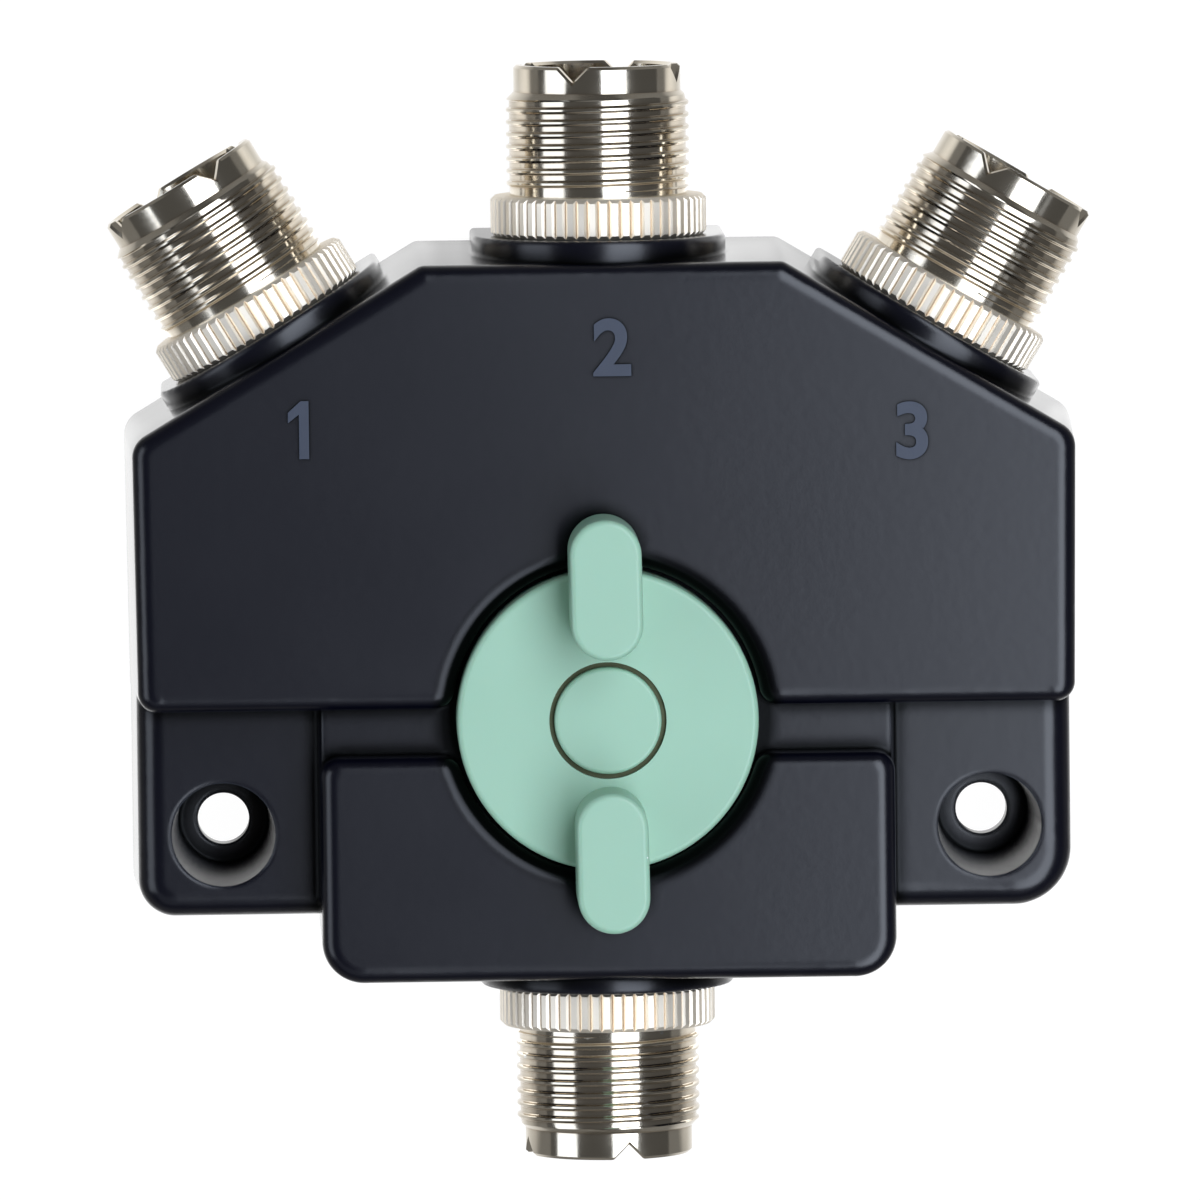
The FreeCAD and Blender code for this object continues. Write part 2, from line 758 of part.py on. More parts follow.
def pan_screw(seat, up):
    """A small screw whose head lies on height seat, above it if up is 1 and below it if up is -1."""
    radius = small_screw_radius - thread_gap
    head_radius, head_top = small_screw_head_radius, small_screw_head_height
    profile = [(0, head_top), (head_radius, head_top), (head_radius, 0), (radius, 0),
               (radius, -small_screw_length), (0, -small_screw_length)]
    screw = revolved(profile)
    screw = screw.cut(cross_slot(cross_slot_depth, head_top - cross_slot_depth))
    if up < 0:
        screw.rotate(vec(0, 0), vec(1, 0), 180)
    screw.translate(Z_AXIS * seat)
    return screw


def small_washer(low):
    return ring(small_screw_radius + washer_gap, small_washer_radius, low, low + washer_thickness)


# ---- Rotor ----

def rotor_hub():
    hub = cylinder(rotor_flange_radius, arm_top, rotor_top)
    hub = hub.fuse(cylinder(rotor_spigot_radius, rotor_bottom, arm_top)).cut(rivet_holes())
    return hub.cut(shaft_section(shaft_radius + seat_gap, rotor_bottom, rotor_top)).removeSplitter()


def rivet_spots():
    angles = [math.radians(90 + turn) for turn in (-rivet_spread, rivet_spread)]
    return [(rivet_reach * math.cos(angle), rivet_reach * math.sin(angle)) for angle in angles]


def rivet_holes():
    radius = rivet_radius + seat_gap
    return Part.makeCompound([cylinder(radius, 0, case_height, x, y) for x, y in rivet_spots()])


def moving_contact():
    """A flat ring around the hub with an arm that ends in a round tip."""
    tip = arm_reach - arm_width / 2
    plate = cylinder(rotor_flange_radius, arm_bottom, arm_top)
    plate = plate.fuse(block(-arm_width / 2, arm_width / 2, 0, tip, arm_bottom, arm_top))
    plate = plate.fuse(cylinder(arm_width / 2, arm_bottom, arm_top, 0, tip))
    plate = plate.cut(cylinder(rotor_spigot_radius + seat_gap, arm_bottom, arm_top))
    return plate.cut(rivet_holes()).removeSplitter()


def contact_rivets():
    rivets = []
    for x, y in rivet_spots():
        rivet = cylinder(rivet_radius, arm_bottom, rotor_top, x, y)
        rivet = rivet.fuse(cylinder(rivet_head_radius, arm_bottom - rivet_head_height, arm_bottom, x, y))
        rivet = rivet.fuse(cylinder(rivet_head_radius, rotor_top, rotor_top + rivet_head_height, x, y))
        rivets.append(rivet.removeSplitter())
    return Part.makeCompound(rivets)


# ---- Ball, spring and stop ----

def detent_ball():
    return Part.makeSphere(ball_radius, vec(0, -ball_reach, ball_centre_height))


def detent_spring():
    """A coil from the floor of the pocket to the underside of the ball. Its wire is drawn with flat sides."""
    inner = spring_coil_radius - spring_wire_radius
    top = ball_centre_height - math.sqrt(ball_radius ** 2 - inner ** 2) - seat_gap
    low = pocket_floor + spring_wire_radius
    height = top - spring_wire_radius - low
    coil = Part.makeHelix(height / spring_turns, height, spring_coil_radius)
    corners = []
    for i in range(spring_wire_sides):
        angle = 2 * math.pi * i / spring_wire_sides
        corners.append(vec(spring_coil_radius + spring_wire_radius * math.cos(angle), 0,
                           spring_wire_radius * math.sin(angle)))
    section = Part.makePolygon(corners + corners[:1])
    spring = Part.Wire(coil.Edges).makePipeShell([section], True, True)
    spring.translate(vec(0, -ball_reach, low))
    return spring


def stop_pin():
    return cylinder(stop_pin_radius, recess_roof, channel_height + stop_pin_rise, 0, stop_pin_reach)


# ---- Files ----

def save(name, shape):
    shape.exportStep("parts/" + name + ".step")
    print(f"{name}: solids {len(shape.Solids)}, valid {shape.isValid()}, volume {shape.Volume:.1f}")


os.makedirs("parts", exist_ok=True)
upper_ports = [
    make_port("port_1", slant_angle, -side_port_offset, side_wall_reach, draft_slope, upper_boss_height,
              strip_leg_reach, notch_turn_port_1, side_pad_shift),
    make_port("port_2", 0, 0, plate_top, draft_slope, upper_boss_height,
              strip_leg_reach, notch_turn_port_2, 0),
    make_port("port_3", -slant_angle, side_port_offset, side_wall_reach, draft_slope, upper_boss_height,
              strip_leg_reach, notch_turn_port_3, -side_pad_shift)]
common_port = make_port("common", 180, 0, -block_bottom, block_slope, common_boss_height, common_leg_reach,
                        notch_turn_common, 0)
all_ports = upper_ports + [common_port]

save("housing", housing(all_ports))
save("rear_cover", rear_cover())
save("cover_screws", cover_screws())
for one_port in all_ports:
    save(one_port["name"] + "_socket", socket_shell(one_port))
    save(one_port["name"] + "_ring_nut", ring_nut(one_port))
    save(one_port["name"] + "_insulator", insulator(one_port))
    save(one_port["name"] + "_centre_contact", centre_contact(one_port))
for one_port in upper_ports:
    save(one_port["name"] + "_contact_strip", contact_strip(one_port))
save("common_contact_strip", common_strip(common_port))
save("knob", knob())
save("knob_cap", knob_cap())
save("knob_screw", pan_screw(cap_recess_floor + washer_thickness, 1))
save("knob_washer", small_washer(cap_recess_floor))
save("shaft", shaft())
save("bushing", bushing())
save("thrust_washer", thrust_washer())
save("shaft_clip", shaft_clip())
save("rotor_hub", rotor_hub())
save("moving_contact", moving_contact())
save("contact_rivets", contact_rivets())
save("rotor_washer", small_washer(rotor_bottom - washer_thickness))
save("rotor_screw", pan_screw(rotor_bottom - washer_thickness, -1))
save("index_plate", index_plate())
save("detent_ball", detent_ball())
save("detent_spring", detent_spring())
save("stop_pin", stop_pin())
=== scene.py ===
import json
import math
import bmesh
import bpy
from mathutils import Matrix, Vector
from mathutils.bvhtree import BVHTree


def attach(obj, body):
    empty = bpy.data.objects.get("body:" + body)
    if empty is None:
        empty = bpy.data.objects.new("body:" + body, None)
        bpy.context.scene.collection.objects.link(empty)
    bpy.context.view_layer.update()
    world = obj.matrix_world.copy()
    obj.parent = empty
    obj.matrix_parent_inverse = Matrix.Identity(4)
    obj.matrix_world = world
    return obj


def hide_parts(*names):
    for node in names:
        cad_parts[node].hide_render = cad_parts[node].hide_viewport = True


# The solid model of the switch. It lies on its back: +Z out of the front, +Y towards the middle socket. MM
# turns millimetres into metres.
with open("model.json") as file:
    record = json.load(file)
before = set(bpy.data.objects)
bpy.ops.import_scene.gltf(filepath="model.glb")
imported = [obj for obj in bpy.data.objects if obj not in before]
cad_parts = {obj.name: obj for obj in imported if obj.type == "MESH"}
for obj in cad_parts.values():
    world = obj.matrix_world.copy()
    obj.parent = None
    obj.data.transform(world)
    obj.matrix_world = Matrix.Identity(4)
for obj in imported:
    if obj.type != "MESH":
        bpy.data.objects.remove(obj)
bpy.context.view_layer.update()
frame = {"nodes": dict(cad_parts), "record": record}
nodes = frame["nodes"]
MM = 0.001

# ---- View ----
# A long lens looks down on the front from slightly above and left of the knob, and the view is turned a
# little about its own axis.
VIEW_FROM = Vector((-32.7, 119.42, 1374.5)) * MM
VIEW_AT = Vector((0, 8.5, 14)) * MM
VIEW_ROLL = math.radians(0.66)
VIEW_LENS = 472.06
VIEW_SHIFT = (-0.0028, 0.0091)
VIEW_CLIP = (0.05, 20)

back = (VIEW_FROM - VIEW_AT).normalized()
level = Vector((0, 1, 0)).cross(back).normalized()
upright = back.cross(level)
right = level * math.cos(VIEW_ROLL) - upright * math.sin(VIEW_ROLL)
turned = Matrix((right, back.cross(right), back)).transposed().to_4x4()
camera = bpy.data.objects.new("camera", bpy.data.cameras.new("camera"))
camera.matrix_world = Matrix.Translation(VIEW_FROM) @ turned
camera.data.lens = VIEW_LENS
camera.data.shift_x, camera.data.shift_y = VIEW_SHIFT
camera.data.clip_start, camera.data.clip_end = VIEW_CLIP
bpy.context.scene.collection.objects.link(camera)
bpy.context.scene.camera = camera
bpy.context.scene.view_settings.view_transform = "Standard"


# ---- Table and light ----
# A white table top in a dim room, under two long soft boxes at the sides and a weak light beyond the common
# socket. Seen directly it is white. Mirrored in the switch it shows painted light and shade, kept as a value
# in its
# mesh: white close to the switch and fading further out, painted shade under the switch, and a brighter
# painted light at the foot of the case where rays towards two lamp directions are free.
FLOOR_HALF = 4.0
FLOOR_DROP = 0.02 * MM
FLOOR_COLOUR = (0.8, 0.8, 0.8, 1)
SEEN_GLOW = 1.1
SEEN_GLOW_SHARE = 0.9
# The painted light that the table shows in mirrors: the finely divided square that holds it, its three
# levels, and the distances from the switch and from the case at which a level is full and gone.
NEAR_HALF = 0.09
NEAR_CELLS = 120
FAR_GLOW = 0.2
NEAR_GLOW = 1.0
WALL_GLOW = 2.1
NEAR_FULL = 8 * MM
NEAR_GONE = 26 * MM
WALL_FULL = 2.5 * MM
WALL_GONE = 5 * MM
# Places this far in under the switch get painted shade, the level of far ones. At the foot of the case the
# painted light is raised where rays towards these two directions are free, and the edge between painted light
# and painted shade is blurred by the last distance.
HIDDEN_REACH = 3.5 * MM
LIT_FROM = (Vector((0.4, 0.05, 0.9)), Vector((-0.5, -0.8, 0.4)))
SHADE_BLUR = 4 * MM
ROOM_COLOUR = (0.08, 0.08, 0.08, 1)
SEEN_ROOM_COLOUR = (1, 1, 1, 1)
LAMP_HEIGHT = 0.9
LAMP_COLOUR = (0.92, 1.0, 1.14)
RIGHT_LAMP = {"x": 0.36, "y": 0.05, "width": 0.58, "length": 2.0, "radiance": 4.1}
LEFT_LAMP = {"x": -1.65, "y": 0.05, "width": 1.05, "length": 2.0, "radiance": 1.7}
CEILING_LIGHT = {"x": 0.0, "y": -1.35, "width": 2.4, "length": 1.6, "radiance": 0.22}


def add_node(tree, kind, inputs=None, **settings):
    """A shader node with its settings and the values of its input sockets, by name or number."""
    made = tree.nodes.new(kind)
    for name, value in settings.items():
        setattr(made, name, value)
    for name, value in (inputs or {}).items():
        made.inputs[name].default_value = value
    return made


def wire(tree, source, target):
    """Joins an output socket to an input socket."""
    tree.links.new(source, target)


def combine(tree, operation, first, second):
    """The result of a Math node; each input is a number or a socket."""
    made = add_node(tree, "ShaderNodeMath", operation=operation)
    for value, socket in zip((first, second), made.inputs):
        if isinstance(value, (int, float)):
            socket.default_value = value
        else:
            wire(tree, value, socket)
    return made.outputs[0]


def soft_box(name, x, y, width, length, radiance):
    """A rectangular lamp over the table that leans towards x = 0, as bright per area as radiance says."""
    lamp = bpy.data.lights.new(name, "AREA")
    lamp.shape, lamp.size, lamp.size_y = "RECTANGLE", width, length
    lamp.energy = radiance * math.pi * width * length
    lamp.color = LAMP_COLOUR
    made = bpy.data.objects.new(name, lamp)
    made.location = (x, y, LAMP_HEIGHT)
    made.rotation_euler = (0, math.atan2(x, LAMP_HEIGHT), 0)
    made.visible_camera = False
    bpy.context.scene.collection.objects.link(made)


soft_box("right_soft_box", **RIGHT_LAMP)
soft_box("left_soft_box", **LEFT_LAMP)
soft_box("ceiling_light", **CEILING_LIGHT)


def search_tree(*names):
    """A tree for distances and rays, from the meshes of these solid nodes together."""
    points, faces = [], []
    for name in names:
        first, mesh = len(points), nodes[name].data
        points += [vertex.co for vertex in mesh.vertices]
        faces += [[first + i for i in face.vertices] for face in mesh.polygons]
    return BVHTree.FromPolygons(points, faces)


def fade(distance, full, gone):
    """1 up to the distance full, then falling to 0 at the distance gone."""
    return min(1, max(0, (gone - distance) / (gone - full)))


solid_tree = search_tree(*nodes)
case_tree = search_tree("housing")
steps = [-FLOOR_HALF] + [NEAR_HALF * (2 * i / NEAR_CELLS - 1) for i in range(NEAR_CELLS + 1)] + [FLOOR_HALF]
row = len(steps)
floor_mesh = bpy.data.meshes.new("table_top")
floor_mesh.from_pydata([(x, y, -FLOOR_DROP) for y in steps for x in steps], [],
                       [(j * row + i, j * row + i + 1, (j + 1) * row + i + 1, (j + 1) * row + i)
                        for j in range(row - 1) for i in range(row - 1)])
sideways = [Vector((x, y, 0)) for x, y in ((1, 0), (0, 1), (-1, 0), (0, -1))]
overhead = Vector((0, 0, 1))


def covered(place, *ways):
    """Whether the solids stand in every one of these ways up from a place on the table."""
    return all(solid_tree.ray_cast(place, way)[0] for way in ways)


# Painted light and shade on the table, seen only in mirrors, for each point of its mesh.
painted_mirror_light = floor_mesh.attributes.new("painted_mirror_light", "FLOAT", "POINT")
for vertex, value in zip(floor_mesh.vertices, painted_mirror_light.data):
    near = fade(solid_tree.find_nearest(vertex.co)[3], NEAR_FULL, NEAR_GONE)
    if near and all(covered(vertex.co + way * HIDDEN_REACH, overhead) for way in sideways):
        near = 0
    wall = near * fade(case_tree.find_nearest(vertex.co)[3], WALL_FULL, WALL_GONE)
    lit = [wall and not covered(vertex.co + way * SHADE_BLUR, *LIT_FROM) for way in sideways]
    value.value = (FAR_GLOW + (NEAR_GLOW - FAR_GLOW) * near
                   + (WALL_GLOW - NEAR_GLOW) * wall * sum(lit) / len(lit))
floor_paint = bpy.data.materials.new("white_table")
floor_paint.use_nodes = True
tree = floor_paint.node_tree
tree.nodes.clear()
path = add_node(tree, "ShaderNodeLightPath")
near = add_node(tree, "ShaderNodeAttribute", attribute_name="painted_mirror_light")
matt = add_node(tree, "ShaderNodeBsdfDiffuse", {"Color": FLOOR_COLOUR})
glow = add_node(tree, "ShaderNodeEmission")
mixed = add_node(tree, "ShaderNodeMixShader")
output = add_node(tree, "ShaderNodeOutputMaterial")
mirrored = combine(tree, "MAXIMUM", path.outputs["Is Glossy Ray"], path.outputs["Is Transmission Ray"])
mirrored_strength = combine(tree, "MULTIPLY", mirrored, near.outputs["Fac"])
seen_strength = combine(tree, "MULTIPLY", path.outputs["Is Camera Ray"], SEEN_GLOW)
seen_share = combine(tree, "MULTIPLY", path.outputs["Is Camera Ray"], SEEN_GLOW_SHARE)
wire(tree, combine(tree, "MAXIMUM", mirrored_strength, seen_strength), glow.inputs["Strength"])
wire(tree, combine(tree, "MAXIMUM", mirrored, seen_share), mixed.inputs[0])
wire(tree, matt.outputs[0], mixed.inputs[1])
wire(tree, glow.outputs[0], mixed.inputs[2])
wire(tree, mixed.outputs[0], output.inputs[0])
floor_mesh.materials.append(floor_paint)
floor = bpy.data.objects.new("table_top", floor_mesh)
bpy.context.scene.collection.objects.link(floor)

world = bpy.data.worlds.new("room")
world.use_nodes = True
tree = world.node_tree
tree.nodes.clear()
room = add_node(tree, "ShaderNodeBackground", {"Color": ROOM_COLOUR, "Strength": 1})
white = add_node(tree, "ShaderNodeBackground", {"Color": SEEN_ROOM_COLOUR, "Strength": 1})
path = add_node(tree, "ShaderNodeLightPath")
mixed = add_node(tree, "ShaderNodeMixShader")
output = add_node(tree, "ShaderNodeOutputWorld")
wire(tree, path.outputs["Is Camera Ray"], mixed.inputs[0])
wire(tree, room.outputs[0], mixed.inputs[1])
wire(tree, white.outputs[0], mixed.inputs[2])
wire(tree, mixed.outputs[0], output.inputs[0])
bpy.context.scene.world = world


# ---- Case ----
# A zinc die casting: two raised plates, a low channel between them and two screw ears. It is sprayed with a
# charcoal enamel, which shows a faint orange peel and is a little thin along the sharp edges. Painted shade
# darkens it and takes its gloss away in the corners and round the knob.
CASE_COLOUR = (0.0018, 0.0020, 0.0058, 1)
CASE_WORN_COLOUR = (0.035, 0.040, 0.050, 1)
CASE_DUST_COLOUR = (0.42, 0.43, 0.45, 1)
CASE_ROUGHNESS = (0.215, 0.235)
ENAMEL_IOR = 1.5
PEEL_SCALE = 900
PEEL_DEPTH = 0.005 * MM
PATCH_SCALE = 45
PAINT_FLOW = 0.6 * MM
EDGE_RADIUS = 0.35 * MM
EDGE_WEAR = 4
WEAR_BREAK_SCALE = 300
CASE_DUST_SCALE = 130
CASE_DUST_SIZE = 0.10
DUST_RARITY = 9
# Painted shade: a darker colour and less gloss that grow as surfaces within the reach close a corner in, and
# a round patch about the knob's axis, full and gone at these two distances.
PAINTED_SHADE_COLOUR = (0.0026, 0.0030, 0.0032, 1)
PAINTED_SHADE_REACH = 1.6 * MM
PAINTED_SHADE_OPEN = 0.97
PAINTED_SHADE_CLOSED = 0.65
PAINTED_SHADE_DULLING = 0.85
KNOB_PAINTED_SHADE = (14.1 * MM, 15.4 * MM)


def new_group(name, inputs, outputs):
    """An empty node group with number inputs and outputs of these names, and its two end nodes."""
    made = bpy.data.node_groups.new(name, "ShaderNodeTree")
    for names, way in ((inputs, "INPUT"), (outputs, "OUTPUT")):
        for socket in names:
            made.interface.new_socket(socket, in_out=way, socket_type="NodeSocketFloat")
    return made, made.nodes.new("NodeGroupInput"), made.nodes.new("NodeGroupOutput")


# Fine surface grain and broad patches, both from 0 to 1.
grain_group, given, result = new_group("grain", ("Grain Scale", "Patch Scale"), ("Grain", "Patches"))
place = add_node(grain_group, "ShaderNodeTexCoord")
fine = add_node(grain_group, "ShaderNodeTexNoise", {"Detail": 3, "Roughness": 0.55})
broad = add_node(grain_group, "ShaderNodeTexNoise", {"Detail": 4, "Roughness": 0.6})
for noise, scale, out in ((fine, "Grain Scale", "Grain"), (broad, "Patch Scale", "Patches")):
    wire(grain_group, place.outputs["Object"], noise.inputs["Vector"])
    wire(grain_group, given.outputs[scale], noise.inputs["Scale"])
    wire(grain_group, noise.outputs["Fac"], result.inputs[out])

# Worn edges: 1 where a rounded copy of the surface leans away from the real one, broken up by a noise.
wear_group, given, result = new_group("edge_wear", ("Radius", "Strength", "Break Scale"), ("Mask",))
rounded = add_node(wear_group, "ShaderNodeBevel", samples=4)
flat = add_node(wear_group, "ShaderNodeNewGeometry")
lean = add_node(wear_group, "ShaderNodeVectorMath", operation="DOT_PRODUCT")
place = add_node(wear_group, "ShaderNodeTexCoord")
broken = add_node(wear_group, "ShaderNodeTexNoise", {"Detail": 4})
gaps = add_node(wear_group, "ShaderNodeMapRange", {"From Min": 0.38, "From Max": 0.62})
wire(wear_group, given.outputs["Radius"], rounded.inputs["Radius"])
wire(wear_group, rounded.outputs[0], lean.inputs[0])
wire(wear_group, flat.outputs["Normal"], lean.inputs[1])
away = combine(wear_group, "SUBTRACT", 1, lean.outputs["Value"])
worn_off = combine(wear_group, "MULTIPLY", away, given.outputs["Strength"])
wire(wear_group, place.outputs["Object"], broken.inputs["Vector"])
wire(wear_group, given.outputs["Break Scale"], broken.inputs["Scale"])
wire(wear_group, broken.outputs["Fac"], gaps.inputs["Value"])
both = combine(wear_group, "MULTIPLY", worn_off, gaps.outputs[0])
both.node.use_clamp = True
wire(wear_group, both, result.inputs["Mask"])

# Crevices: 0 where surfaces within Reach leave at least the share Open of the directions free, and 1 where
# they leave the share Closed or less. The first group sees only its own piece, the second all pieces.
crevice_groups = []
for name, alone in (("own_crevices", True), ("all_crevices", False)):
    crevice_group, given, result = new_group(name, ("Reach", "Open", "Closed"), ("Mask",))
    air = add_node(crevice_group, "ShaderNodeAmbientOcclusion", samples=8, only_local=alone)
    closed_in = add_node(crevice_group, "ShaderNodeMapRange")
    wire(crevice_group, given.outputs["Reach"], air.inputs["Distance"])
    wire(crevice_group, air.outputs["AO"], closed_in.inputs["Value"])
    wire(crevice_group, given.outputs["Open"], closed_in.inputs["From Min"])
    wire(crevice_group, given.outputs["Closed"], closed_in.inputs["From Max"])
    wire(crevice_group, closed_in.outputs[0], result.inputs["Mask"])
    crevice_groups.append(crevice_group)
own_crevices, all_crevices = crevice_groups

# A round patch about the knob's axis: 1 within the distance Full and 0 beyond the distance Gone.
patch_group, given, result = new_group("axis_patch", ("Full", "Gone"), ("Mask",))
place = add_node(patch_group, "ShaderNodeTexCoord")
level_part = add_node(patch_group, "ShaderNodeVectorMath", {1: (1, 1, 0)}, operation="MULTIPLY")
distance = add_node(patch_group, "ShaderNodeVectorMath", operation="LENGTH")
within = add_node(patch_group, "ShaderNodeMapRange", {"To Min": 1, "To Max": 0})
wire(patch_group, place.outputs["Object"], level_part.inputs[0])
wire(patch_group, level_part.outputs[0], distance.inputs[0])
wire(patch_group, distance.outputs["Value"], within.inputs["Value"])
wire(patch_group, given.outputs["Full"], within.inputs["From Min"])
wire(patch_group, given.outputs["Gone"], within.inputs["From Max"])
wire(patch_group, within.outputs[0], result.inputs["Mask"])

# Sparse specks of dust of different sizes.
dust_group, given, result = new_group("dust", ("Scale", "Size"), ("Mask",))
place = add_node(dust_group, "ShaderNodeTexCoord")
cells = add_node(dust_group, "ShaderNodeTexVoronoi")
lot = add_node(dust_group, "ShaderNodeSeparateColor")
wire(dust_group, place.outputs["Object"], cells.inputs["Vector"])
wire(dust_group, given.outputs["Scale"], cells.inputs["Scale"])
wire(dust_group, cells.outputs["Color"], lot.inputs[0])
rare = combine(dust_group, "POWER", lot.outputs[0], DUST_RARITY)
radius = combine(dust_group, "MULTIPLY", rare, given.outputs["Size"])
wire(dust_group, combine(dust_group, "LESS_THAN", cells.outputs["Distance"], radius), result.inputs["Mask"])


def new_material(name, **values):
    """A material with one Principled shader, whose plain values are set on its own sockets by name."""
    made = bpy.data.materials.new(name)
    made.use_nodes = True
    shader = made.node_tree.nodes["Principled BSDF"]
    for socket, value in values.items():
        shader.inputs[socket.replace("_", " ")].default_value = value
    return made, made.node_tree, shader


def use_group(tree, group, **values):
    """A group node with a value for each of its inputs, named with _ for a space."""
    made = add_node(tree, "ShaderNodeGroup", node_tree=group)
    for socket, value in values.items():
        made.inputs[socket.replace("_", " ")].default_value = value
    return made


def mix_colours(tree, factor, first, second):
    """first where factor is 0 and second where it is 1; each is a colour or a colour socket. Inputs 6 and 7
    and output 2 are the colour sockets of a Mix node."""
    made = add_node(tree, "ShaderNodeMix", data_type="RGBA")
    wire(tree, factor, made.inputs[0])
    for value, socket in ((first, made.inputs[6]), (second, made.inputs[7])):
        if isinstance(value, tuple):
            socket.default_value = value
        else:
            wire(tree, value, socket)
    return made.outputs[2]


def spread(tree, factor, low, high):
    """A number that runs from low to high as factor runs over the middle of a noise."""
    made = add_node(tree, "ShaderNodeMapRange", {"From Min": 0.3, "From Max": 0.7,
                                                 "To Min": low, "To Max": high})
    wire(tree, factor, made.inputs["Value"])
    return made.outputs[0]


def bumped(tree, height, depth):
    """A normal from a height of 0 to 1 that stands for depth metres."""
    made = add_node(tree, "ShaderNodeBump", {"Strength": 1, "Distance": depth})
    wire(tree, height, made.inputs["Height"])
    return made.outputs[0]


def dress(material, *names):
    """Puts a material on solid nodes."""
    for name in names:
        nodes[name].data.materials.clear()
        nodes[name].data.materials.append(material)


def enamel(name, colour, roughness, grease=None):
    """Sprayed enamel with orange peel, thin edges, a little dust and painted shade in the corners. Its last
    argument, if given, is how far from the knob's axis a round patch of painted shade is full and gone. The
    painted shade is a dark colour and also raises Metallic, which takes the gloss of bare enamel away there,
    so that it darkens highlights too."""
    made, tree, shader = new_material(name, IOR=ENAMEL_IOR)
    grain = use_group(tree, grain_group, Grain_Scale=PEEL_SCALE, Patch_Scale=PATCH_SCALE)
    wear = use_group(tree, wear_group, Radius=EDGE_RADIUS, Strength=EDGE_WEAR, Break_Scale=WEAR_BREAK_SCALE)
    dust = use_group(tree, dust_group, Scale=CASE_DUST_SCALE, Size=CASE_DUST_SIZE)
    # Painted shade in the corners and round the knob: a darker colour, and Metallic raised so that the gloss
    # goes too.
    corner_shade = use_group(tree, all_crevices, Reach=PAINTED_SHADE_REACH, Open=PAINTED_SHADE_OPEN, Closed=PAINTED_SHADE_CLOSED)
    painted_shade = corner_shade.outputs[0]
    if grease:
        greasy = use_group(tree, patch_group, Full=grease[0], Gone=grease[1])
        painted_shade = combine(tree, "MAXIMUM", painted_shade, greasy.outputs[0])
    worn = mix_colours(tree, wear.outputs[0], colour, CASE_WORN_COLOUR)
    shaded_worn_tone = mix_colours(tree, painted_shade, worn, PAINTED_SHADE_COLOUR)
    wire(tree, mix_colours(tree, dust.outputs[0], shaded_worn_tone, CASE_DUST_COLOUR), shader.inputs["Base Color"])
    wire(tree, combine(tree, "MULTIPLY", painted_shade, PAINTED_SHADE_DULLING), shader.inputs["Metallic"])
    wire(tree, spread(tree, grain.outputs["Patches"], *roughness), shader.inputs["Roughness"])
    flow = add_node(tree, "ShaderNodeBevel", {"Radius": PAINT_FLOW}, samples=6)
    peel = bumped(tree, grain.outputs["Grain"], PEEL_DEPTH)
    wire(tree, flow.outputs[0], peel.node.inputs["Normal"])
    wire(tree, peel, shader.inputs["Normal"])
    return made


dress(enamel("charcoal_enamel", CASE_COLOUR, CASE_ROUGHNESS, KNOB_PAINTED_SHADE), "housing")

# ---- Port numbers ----
# Plain numbers beside the three selectable sockets. They are low figures that stand up from the casting, and
# their tops are filled in with slate blue paint.
NUMBER_COLOUR = (0.019, 0.027, 0.048, 1)
NUMBER_PALE_COLOUR = (0.026, 0.036, 0.062, 1)
NUMBER_ROUGHNESS = 0.42
NUMBER_PATCH_SCALE = 400
NUMBER_HEIGHT = 5.0 * MM
NUMBER_RISE = 0.12 * MM
NUMBER_BEVEL = 0.06 * MM
NUMBER_WEIGHT = 0.03
# The middles of the figures on the upper plate in mm, and the outline of the 1 as shares of its height.
NUMBER_PLACES = {"1": (-26.3, 25.3), "2": (0.75, 32.1), "3": (26.5, 24.6)}
FIGURE_ONE = ((0.19, 0), (0.36, 0), (0.36, 1), (0.22, 1), (0, 0.80), (0, 0.62), (0.19, 0.77))

plate_height = max(vertex.co.z for vertex in nodes["housing"].data.vertices)
number_paint, tree, shader = new_material("slate_fill", Roughness=NUMBER_ROUGHNESS, IOR=ENAMEL_IOR)
grain = use_group(tree, grain_group, Grain_Scale=PEEL_SCALE, Patch_Scale=NUMBER_PATCH_SCALE)
tone = mix_colours(tree, grain.outputs["Patches"], NUMBER_COLOUR, NUMBER_PALE_COLOUR)
wire(tree, tone, shader.inputs["Base Color"])
wire(tree, bumped(tree, grain.outputs["Grain"], PEEL_DEPTH), shader.inputs["Normal"])


def figure_curve(text):
    """A figure of the plain built-in typeface, or a 1 with a flag, which that typeface lacks."""
    if text != "1":
        curve = bpy.data.curves.new("number", "FONT")
        curve.body, curve.offset = text, NUMBER_WEIGHT
        return curve
    curve = bpy.data.curves.new("number", "CURVE")
    curve.dimensions, curve.fill_mode = "2D", "BOTH"
    outline = curve.splines.new("POLY")
    outline.points.add(len(FIGURE_ONE) - 1)
    outline.use_cyclic_u = True
    for point, (x, y) in zip(outline.points, FIGURE_ONE):
        point.co = (x, y, 0, 1)
    return curve


